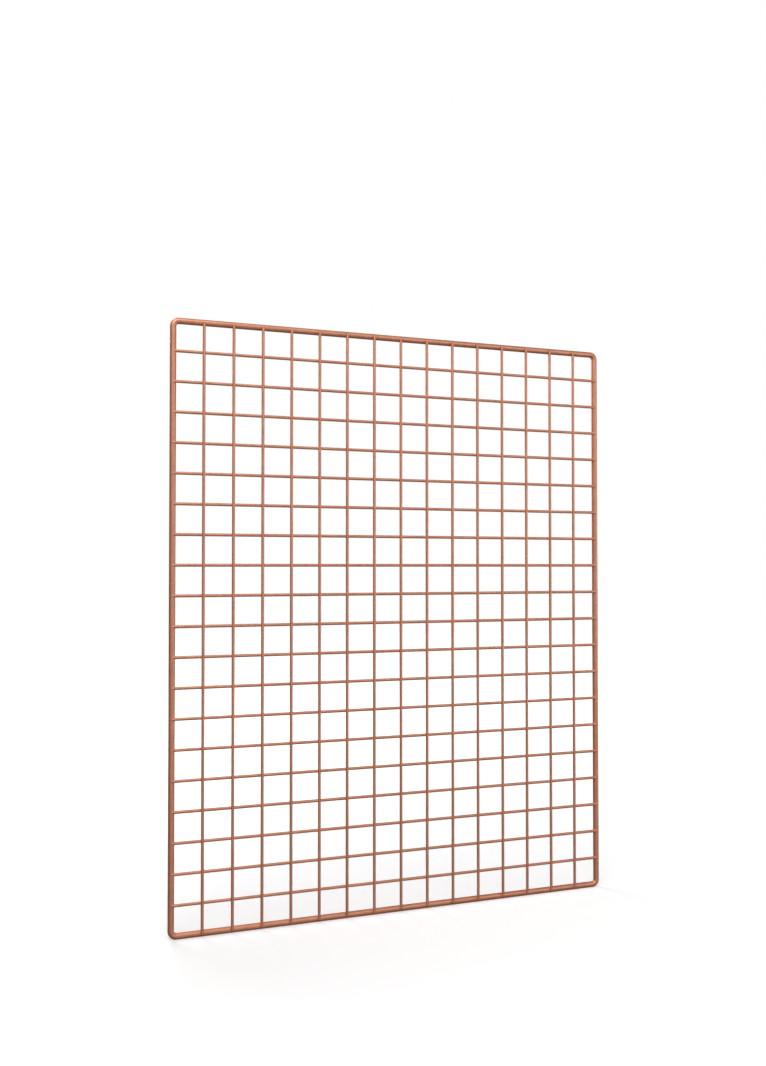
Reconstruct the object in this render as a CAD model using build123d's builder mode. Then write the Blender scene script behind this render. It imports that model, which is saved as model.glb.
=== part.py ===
from build123d import *
import os

# Welded wire grid panel for a tool wall: one bent rod makes the outer frame, and two layers of
# straight wires cross inside it. Millimetres, +Z up, X along the wall, the room side towards -Y.
# The origin is at the middle of the panel's depth and width, on the level of its lowest point.

# Driving dimensions
cell = 50.0  # wire spacing, centre to centre, both ways
columns = 16  # cells across the panel
rows = 20  # cells up the panel
rod_diameter = 10.4  # over the coating
wire_diameter = 5.0  # over the coating
bend_radius = 9.0  # of the rod's centreline at each corner
vertical_lead = 5.7  # vertical wires' axes, in front of the rod's axis
horizontal_lead = 3.2  # horizontal wires' axes, in front of the rod's axis
wire_overhang = 1.0  # each wire runs this far past the rod's centreline
wire_end_radius = 1.0  # rounding of the sheared wire ends

# Derived sizes
rod_radius = rod_diameter / 2
wire_radius = wire_diameter / 2
width = columns * cell  # between the side rods' centrelines
height = rows * cell  # between the bottom and top rods' centrelines
front_face = vertical_lead + wire_radius  # the panel's front, ahead of the rod's axis
rod_y = (front_face - rod_radius) / 2  # puts the origin halfway through the depth
vertical_y = rod_y - vertical_lead
horizontal_y = rod_y - horizontal_lead
bottom_z = rod_radius
top_z = bottom_z + height


def column_x(column):
    """X of the wire on the right of a column, counted from the left."""
    return column * cell - width / 2


def row_z(row):
    """Z of the wire on top of a row, counted from the bottom."""
    return bottom_z + row * cell


def finish_part(part, name):
    """Label a finished piece and write its STEP file."""
    part.label = name
    export_step(part, f"parts/{name}.step")


os.makedirs("parts", exist_ok=True)

# Frame rod: one bar, bent at the four corners into a closed rectangle
with BuildPart() as frame_rod:
    with BuildLine(Plane.XZ.offset(-rod_y)) as frame_path:
        FilletPolyline(
            (width / 2, bottom_z),
            (width / 2, top_z),
            (-width / 2, top_z),
            (-width / 2, bottom_z),
            radius=bend_radius,
            close=True,
        )
    frame_loop = frame_path.wire()
    with BuildSketch(Plane(origin=frame_loop @ 0, z_dir=frame_loop % 0)):
        Circle(rod_radius)
    sweep(path=frame_loop)
finish_part(frame_rod.part, "frame_rod")

# Vertical wires: the front layer, lying on the front of the top and bottom rods. Each is pressed
# into the rods as it is welded, so its ends are saddled over them.
vertical_length = height + 2 * wire_overhang
vertical_wires = []
for column in range(1, columns):
    wire_start = Plane.XY.offset(bottom_z - wire_overhang)
    with BuildPart() as vertical_wire:
        with BuildSketch(wire_start):
            with Locations((column_x(column), vertical_y)):
                Circle(wire_radius)
        extrude(amount=vertical_length)
        fillet(vertical_wire.edges().filter_by(GeomType.CIRCLE), radius=wire_end_radius)
        add(frame_rod.part, mode=Mode.SUBTRACT)
    finish_part(vertical_wire.part, f"vertical_wire_{column:02d}")
    vertical_wires.append(vertical_wire.part)

# Horizontal wires: the rear layer, between the side rods. The vertical wires are pressed into
# them, so each carries a seat half a wire deep at every crossing, and its ends are saddled over
# the side rods.
horizontal_length = width + 2 * wire_overhang
for row in range(1, rows):
    wire_start = Plane.YZ.offset(-horizontal_length / 2)
    with BuildPart() as horizontal_wire:
        with BuildSketch(wire_start):
            with Locations((horizontal_y, row_z(row))):
                Circle(wire_radius)
        extrude(amount=horizontal_length)
        fillet(horizontal_wire.edges().filter_by(GeomType.CIRCLE), radius=wire_end_radius)
        add(frame_rod.part, mode=Mode.SUBTRACT)
        add(vertical_wires, mode=Mode.SUBTRACT)
    finish_part(horizontal_wire.part, f"horizontal_wire_{row:02d}")
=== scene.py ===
import math
import random

import bmesh
import bpy
import numpy as np
from mathutils import Matrix, Vector


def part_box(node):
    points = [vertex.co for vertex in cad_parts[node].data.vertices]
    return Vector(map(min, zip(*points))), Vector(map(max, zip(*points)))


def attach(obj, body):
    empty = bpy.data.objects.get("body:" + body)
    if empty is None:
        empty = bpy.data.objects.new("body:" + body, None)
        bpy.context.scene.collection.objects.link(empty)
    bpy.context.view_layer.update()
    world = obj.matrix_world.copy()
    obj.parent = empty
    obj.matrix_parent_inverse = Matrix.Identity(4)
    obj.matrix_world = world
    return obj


# Welded wire grid panel. The rod and the wires are the frame's own nodes with a powder-coat
# material; this script adds the coat's fillets round every weld, the studio and the camera.
# Metres, +Z up, the room side towards -Y.

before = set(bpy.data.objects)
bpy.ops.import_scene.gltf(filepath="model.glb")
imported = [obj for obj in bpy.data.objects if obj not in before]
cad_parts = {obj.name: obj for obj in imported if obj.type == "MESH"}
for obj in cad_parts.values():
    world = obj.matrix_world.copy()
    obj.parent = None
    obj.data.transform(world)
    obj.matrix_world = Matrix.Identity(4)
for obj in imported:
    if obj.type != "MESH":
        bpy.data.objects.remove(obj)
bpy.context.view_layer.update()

MM = 0.001
verticals = sorted(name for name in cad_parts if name.startswith("vertical_wire"))
horizontals = sorted(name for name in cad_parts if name.startswith("horizontal_wire"))


def node_centre(name):
    """Middle of a node's box."""
    low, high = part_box(name)
    return (Vector(low) + Vector(high)) / 2


# Sizes and places, read from the frame
rod_low, rod_high = (Vector(corner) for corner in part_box("frame_rod"))
rod_radius = (rod_high.y - rod_low.y) / 2
rod_y = (rod_high.y + rod_low.y) / 2
left_x = rod_low.x + rod_radius
right_x = rod_high.x - rod_radius
bottom_z = rod_low.z + rod_radius
top_z = rod_high.z - rod_radius
vertical_low, vertical_high = (Vector(corner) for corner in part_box(verticals[0]))
wire_radius = (vertical_high.x - vertical_low.x) / 2
wire_overhang = vertical_high.z - top_z
column_x = [node_centre(name).x for name in verticals]
row_z = [node_centre(name).z for name in horizontals]
vertical_y = node_centre(verticals[0]).y
horizontal_y = node_centre(horizontals[0]).y
panel_centre = Vector(((left_x + right_x) / 2, rod_y, (bottom_z + top_z) / 2))

# Weld fillets
crossing_fillet = 0.45 * MM  # radius of the coat in the corner of a crossing
rod_fillet = 0.45 * MM  # the same where a wire meets the frame rod
fillet_wander = 0.14  # how far a fillet's radius wanders from its mean, as a share of it
fillet_tuck = 0.3 * MM  # how far a fillet's hidden edge goes under both surfaces
wire_end_rounding = 1.0 * MM  # as on the CAD wires
vertical_seat = -0.3  # radians round the rod from its front, about where a vertical wire lies on it
horizontal_seat = -0.6  # the same for a horizontal wire
ring_steps = 48  # places round a joint
arc_steps = 6  # divisions across a fillet
drift_waves = (1, 2, 3)  # cycles round a joint that make up a fillet's wandering
drift_span = 1.5  # brings the sum of those waves near 1 at its largest
crossing_seed = 7
top_seed, bottom_seed, left_seed, right_seed = 11, 12, 13, 14


# --- Weld fillets -----------------------------------------------------------------------------


def wire_distance(points, wire_lead, wire_end):
    """Distance from points to a rounded-end wire that runs along -b and ends at b = wire_end.

    Points are (a, b, c): a along the bar that the wire crosses, b along the wire, c to the front.
    The bar's axis is a; the wire's axis is wire_lead in front of it."""
    side = np.hypot(points[:, 0], points[:, 2] - wire_lead) - wire_radius
    end = points[:, 1] - wire_end
    side_in = side + wire_end_rounding
    end_in = end + wire_end_rounding
    outside = np.hypot(np.maximum(side_in, 0), np.maximum(end_in, 0))
    return outside + np.minimum(np.maximum(side_in, end_in), 0) - wire_end_rounding


def wire_normal(points, wire_lead, wire_end):
    """Outward direction from the wire at each point."""
    step = 1e-6
    slopes = []
    for axis in range(3):
        shift = np.zeros(3)
        shift[axis] = step
        ahead = wire_distance(points + shift, wire_lead, wire_end)
        behind = wire_distance(points - shift, wire_lead, wire_end)
        slopes.append(ahead - behind)
    normal = np.stack(slopes, axis=1)
    return normal / np.linalg.norm(normal, axis=1, keepdims=True)


def wandering_radius(mean, rng):
    """A fillet radius for each place round the joint, drifting smoothly about its mean."""
    angle = np.linspace(0, 2 * math.pi, ring_steps, endpoint=False)
    drift = np.zeros(ring_steps)
    for wave in drift_waves:
        phase = rng.uniform(0, 2 * math.pi)
        drift += np.cos(wave * angle + phase) * rng.uniform(0.2, 1) / wave
    return mean * (1 + fillet_wander * drift / drift_span)


def fillet_ring(bar_radius, wire_lead, wire_end, start_angle, radius):
    """Cross-sections of the fillet between a bar and a wire lying on it, one for each place
    round the joint: a ball of the fillet's radius rolls round the corner between the two."""
    halvings = 50
    widest_search = 2.4  # in orbits, past the far side of any joint here
    least_spread = 1e-3  # radians
    turn = np.linspace(0, 2 * math.pi, ring_steps, endpoint=False)
    orbit = bar_radius + radius

    def ball(reach):
        """Centres of balls that rest on the bar, that far from the middle of the joint."""
        angle = start_angle + reach * np.sin(turn) / orbit
        return np.stack([reach * np.cos(turn), orbit * np.sin(angle), orbit * np.cos(angle)], axis=1)

    near = np.zeros(ring_steps)
    far = np.full(ring_steps, widest_search * orbit)
    for _ in range(halvings):
        reach = (near + far) / 2
        inside = wire_distance(ball(reach), wire_lead, wire_end) < radius
        near = np.where(inside, reach, near)
        far = np.where(inside, far, reach)
    centre = ball((near + far) / 2)

    bar_normal = centre * [0, 1, 1] / orbit[:, None]
    side_normal = wire_normal(centre, wire_lead, wire_end)
    cosine = np.clip((bar_normal * side_normal).sum(axis=1), -1, 1)
    spread = np.maximum(np.arccos(cosine), least_spread)[:, None]
    sections = []
    for step in range(arc_steps + 1):
        share = step / arc_steps
        toward = bar_normal * np.sin((1 - share) * spread) + side_normal * np.sin(share * spread)
        sections.append(centre - radius[:, None] * toward / np.sin(spread))
    sections.append(sections[-1] - fillet_tuck * side_normal)
    sections.append(sections[0] - fillet_tuck * bar_normal)
    return np.stack(sections, axis=1)


def make_outward(mesh):
    """Turn the faces of a closed mesh outwards."""
    shape = bmesh.new()
    shape.from_mesh(mesh)
    bmesh.ops.recalc_face_normals(shape, faces=shape.faces)
    shape.to_mesh(mesh)
    shape.free()


def weld_piece(name, rings):
    """One piece from closed fillet rings, each an array of (place, cross-section point, xyz)."""
    vertices = []
    faces = []
    for ring in rings:
        places, points, _ = ring.shape
        first = len(vertices)
        vertices.extend(map(tuple, ring.reshape(-1, 3)))
        for place in range(places):
            after = (place + 1) % places
            for point in range(points):
                beside = (point + 1) % points
                corners = ((place, point), (after, point), (after, beside), (place, beside))
                faces.append([first + i * points + j for i, j in corners])
    mesh = bpy.data.meshes.new(name)
    mesh.from_pydata(vertices, [], faces)
    mesh.validate()
    mesh.shade_smooth()
    piece = bpy.data.objects.new(name, mesh)
    bpy.context.scene.collection.objects.link(piece)
    make_outward(mesh)
    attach(piece, "root")
    return piece


def place_ring(ring, origin, bar_axis, wire_axis):
    """Turn a ring from the joint's own (a, b, c) into the frame, with c towards the room."""
    front = np.array([0.0, -1.0, 0.0])
    axes = np.stack([np.array(bar_axis), np.array(wire_axis), front])
    return ring @ axes + np.array(origin)


def crossing_fillets():
    """Fillets round every crossing of two wires, one piece for each horizontal wire."""
    rng = random.Random(crossing_seed)
    lead = horizontal_y - vertical_y
    endless = 1.0
    pieces = []
    for number, z in enumerate(row_z, start=1):
        rings = []
        for x in column_x:
            radius = wandering_radius(crossing_fillet, rng)
            ring = fillet_ring(wire_radius, lead, endless, 0.0, radius)
            rings.append(place_ring(ring, (x, horizontal_y, z), (1, 0, 0), (0, 0, 1)))
        pieces.append(weld_piece(f"crossing_fillets_{number:02d}", rings))
    return pieces


def end_fillets(name, lead, start_angle, origins, bar_axis, wire_axis, seed):
    """Fillets where one set of wires ends on one side of the frame rod."""
    rng = random.Random(seed)
    rings = []
    for origin in origins:
        radius = wandering_radius(rod_fillet, rng)
        ring = fillet_ring(rod_radius, lead, wire_overhang, start_angle, radius)
        rings.append(place_ring(ring, origin, bar_axis, wire_axis))
    return weld_piece(name, rings)


def frame_fillets():
    """Fillets where the wires end on the four sides of the frame rod."""
    vertical_lead = rod_y - vertical_y
    horizontal_lead = rod_y - horizontal_y
    top = [(x, rod_y, top_z) for x in column_x]
    bottom = [(x, rod_y, bottom_z) for x in column_x]
    left = [(left_x, rod_y, z) for z in row_z]
    right = [(right_x, rod_y, z) for z in row_z]
    across, up = (1, 0, 0), (0, 0, 1)
    leftward, down = (-1, 0, 0), (0, 0, -1)
    return [
        end_fillets("top_rod_fillets", vertical_lead, vertical_seat, top, across, up, top_seed),
        end_fillets(
            "bottom_rod_fillets", vertical_lead, vertical_seat, bottom, across, down, bottom_seed
        ),
        end_fillets(
            "left_rod_fillets", horizontal_lead, horizontal_seat, left, up, leftward, left_seed
        ),
        end_fillets(
            "right_rod_fillets", horizontal_lead, horizontal_seat, right, up, across, right_seed
        ),
    ]


# --- Material ---------------------------------------------------------------------------------


def powder_coat():
    """Satin copper-coloured powder coat: orange peel, uneven gloss and faint colour drift."""
    deeper_copper = (0.715, 0.299, 0.177, 1)
    paler_copper = (0.785, 0.345, 0.213, 1)
    glossiest, dullest = 0.42, 0.53
    middle_low, middle_high = 0.3, 0.7  # the stretch in which most of a noise's values lie
    drift_scale, gloss_scale, peel_scale, grain_scale = 45, 160, 750, 3200  # waves to the metre
    peel_height, grain_height = 0.12 * MM, 0.03 * MM
    peel_strength, grain_strength = 0.6, 0.35
    material = bpy.data.materials.new("copper_powder_coat_surface")
    material.use_nodes = True
    nodes = material.node_tree.nodes
    links = material.node_tree.links
    shader = nodes["Principled BSDF"]
    shader.inputs["IOR"].default_value = 1.5
    shader.inputs["Metallic"].default_value = 0.7
    place = nodes.new("ShaderNodeTexCoord")

    def noise(scale, detail):
        """A noise texture in the frame's own coordinates, scale in waves to the metre."""
        node = nodes.new("ShaderNodeTexNoise")
        node.inputs["Scale"].default_value = scale
        node.inputs["Detail"].default_value = detail
        links.new(place.outputs["Object"], node.inputs["Vector"])
        return node.outputs["Fac"]

    def spread(source, low, high):
        """A number between low and high that follows the source."""
        node = nodes.new("ShaderNodeMapRange")
        node.inputs["From Min"].default_value = middle_low
        node.inputs["From Max"].default_value = middle_high
        node.inputs["To Min"].default_value = low
        node.inputs["To Max"].default_value = high
        links.new(source, node.inputs["Value"])
        return node.outputs["Result"]

    drift = nodes.new("ShaderNodeValToRGB")
    drift.color_ramp.elements[0].position = middle_low
    drift.color_ramp.elements[0].color = deeper_copper
    drift.color_ramp.elements[1].position = middle_high
    drift.color_ramp.elements[1].color = paler_copper
    links.new(noise(drift_scale, 3), drift.inputs["Fac"])
    links.new(drift.outputs["Color"], shader.inputs["Base Color"])
    links.new(spread(noise(gloss_scale, 3), glossiest, dullest), shader.inputs["Roughness"])

    peel = nodes.new("ShaderNodeBump")
    peel.inputs["Strength"].default_value = peel_strength
    peel.inputs["Distance"].default_value = peel_height
    links.new(noise(peel_scale, 2), peel.inputs["Height"])
    grain = nodes.new("ShaderNodeBump")
    grain.inputs["Strength"].default_value = grain_strength
    grain.inputs["Distance"].default_value = grain_height
    links.new(noise(grain_scale, 1), grain.inputs["Height"])
    links.new(peel.outputs["Normal"], grain.inputs["Normal"])
    links.new(grain.outputs["Normal"], shader.inputs["Normal"])
    return material


# --- Studio -----------------------------------------------------------------------------------


def stage_white(name, albedo):
    """A matt white stage material with a white glow; returns it and its shader."""
    material = bpy.data.materials.new(name)
    material.use_nodes = True
    shader = material.node_tree.nodes["Principled BSDF"]
    shader.inputs["Base Color"].default_value = (albedo, albedo, albedo, 1)
    shader.inputs["Roughness"].default_value = 0.9
    shader.inputs["Specular IOR Level"].default_value = 0.0
    shader.inputs["Emission Color"].default_value = (1, 1, 1, 1)
    shader.inputs["Emission Strength"].default_value = 1.0
    return material, shader


def floor_white():
    """White floor: near the panel it takes the softboxes' light and the panel's soft shadow, and
    further out, where their light falls off, its own glow keeps it as white as the surround."""
    albedo = 0.8
    near_glow, far_glow = 0.29, 1.0
    shadow_reach = Vector((4.4, 3.0, 3.0))  # from the centre to where the glow is at its full
    shadow_centre = Vector((-0.3, -0.15, 0))
    material, shader = stage_white("floor_white", albedo)
    nodes = material.node_tree.nodes
    links = material.node_tree.links
    place = nodes.new("ShaderNodeTexCoord")
    spot = nodes.new("ShaderNodeMapping")
    spot.inputs["Scale"].default_value = [1 / reach for reach in shadow_reach]
    spot.inputs["Location"].default_value = [-c / r for c, r in zip(shadow_centre, shadow_reach)]
    links.new(place.outputs["Object"], spot.inputs["Vector"])
    nearness = nodes.new("ShaderNodeTexGradient")
    nearness.gradient_type = "SPHERICAL"
    links.new(spot.outputs["Vector"], nearness.inputs["Vector"])
    glow = nodes.new("ShaderNodeMapRange")
    glow.inputs["To Min"].default_value = far_glow
    glow.inputs["To Max"].default_value = near_glow
    links.new(nearness.outputs["Fac"], glow.inputs["Value"])
    links.new(glow.outputs["Result"], shader.inputs["Emission Strength"])
    return material


def stage_piece(name, mesh, material):
    """A piece of the studio, which neither lights the panel nor shows in its gloss."""
    mesh.materials.append(material)
    item = bpy.data.objects.new(name, mesh)
    bpy.context.scene.collection.objects.link(item)
    item.visible_diffuse = False
    item.visible_glossy = False
    item.visible_shadow = False


def studio():
    """A pale floor under the panel, inside a plain white dome."""
    reach = 8.0
    floor = bpy.data.meshes.new("floor")
    corners = [(-reach, -reach, 0), (reach, -reach, 0), (reach, reach, 0), (-reach, reach, 0)]
    floor.from_pydata(corners, [], [(0, 1, 2, 3)])
    stage_piece("floor", floor, floor_white())
    dome = bpy.data.meshes.new("dome")
    shape = bmesh.new()
    bmesh.ops.create_uvsphere(shape, u_segments=48, v_segments=24, radius=reach)
    shape.to_mesh(dome)
    shape.free()
    stage_piece("dome", dome, stage_white("dome_white", 0.0)[0])


def softbox(name, azimuth, elevation, distance, size, power):
    """A square area light aimed at the panel's centre, its power in watts. Azimuth 0 is straight
    in front of the panel and grows to the right, in degrees."""
    a, e = math.radians(azimuth), math.radians(elevation)
    away = Vector((math.sin(a) * math.cos(e), -math.cos(a) * math.cos(e), math.sin(e)))
    light = bpy.data.lights.new(name, "AREA")
    light.size = size
    light.energy = power
    lamp = bpy.data.objects.new(name, light)
    bpy.context.scene.collection.objects.link(lamp)
    lamp.visible_camera = False
    lamp.location = panel_centre + away * distance
    lamp.rotation_mode = "QUATERNION"
    lamp.rotation_quaternion = away.to_track_quat("Z", "Y")


def lights():
    """Broad softboxes round the panel, brightest from high on the left, and an even fill."""
    distance, size = 2.8, 1.4
    fill_strength = 0.12
    softbox("high_softbox", -30, 50, distance, size, 48)
    softbox("right_softbox", 60, 0, distance, size, 14)
    softbox("front_right_softbox", 30, 25, distance, size, 11)
    softbox("front_left_softbox", -30, 0, distance, size, 6)
    softbox("low_softbox", 0, -25, distance, size, 5)
    softbox("back_softbox", 200, 35, distance, size, 38)
    world = bpy.data.worlds.new("studio_air")
    world.use_nodes = True
    background = world.node_tree.nodes["Background"]
    background.inputs["Color"].default_value = (1, 1, 1, 1)
    background.inputs["Strength"].default_value = fill_strength
    bpy.context.scene.world = world


def camera():
    """The camera, in front of the panel and to its left, turned to the right."""
    from_centre = Vector((-0.7208, -1.7564, 0.0980))
    yaw, pitch, roll = math.radians(-21.457), math.radians(1.14), math.radians(-0.441)
    sensor_width, focal_length = 36, 36.37  # millimetres
    shift_x, shift_y = -0.0005, 0.0098
    eye = panel_centre + from_centre
    data = bpy.data.cameras.new("camera")
    data.sensor_width = sensor_width
    data.lens = focal_length
    data.shift_x = shift_x
    data.shift_y = shift_y
    item = bpy.data.objects.new("camera", data)
    bpy.context.scene.collection.objects.link(item)
    aim = Matrix.Rotation(roll, 4, "Y") @ Matrix.Rotation(pitch, 4, "X") @ Matrix.Rotation(yaw, 4, "Z")
    item.matrix_world = Matrix.Translation(eye) @ aim @ Matrix.Rotation(math.radians(90), 4, "X")
    bpy.context.scene.camera = item


# --- Assembly ---------------------------------------------------------------------------------

welds = crossing_fillets() + frame_fillets()
coat = powder_coat()
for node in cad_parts.values():
    for slot in node.material_slots:
        slot.material = coat
for piece in welds:
    piece.data.materials.append(coat)

studio()
lights()
camera()
bpy.context.scene.view_settings.view_transform = "Standard"
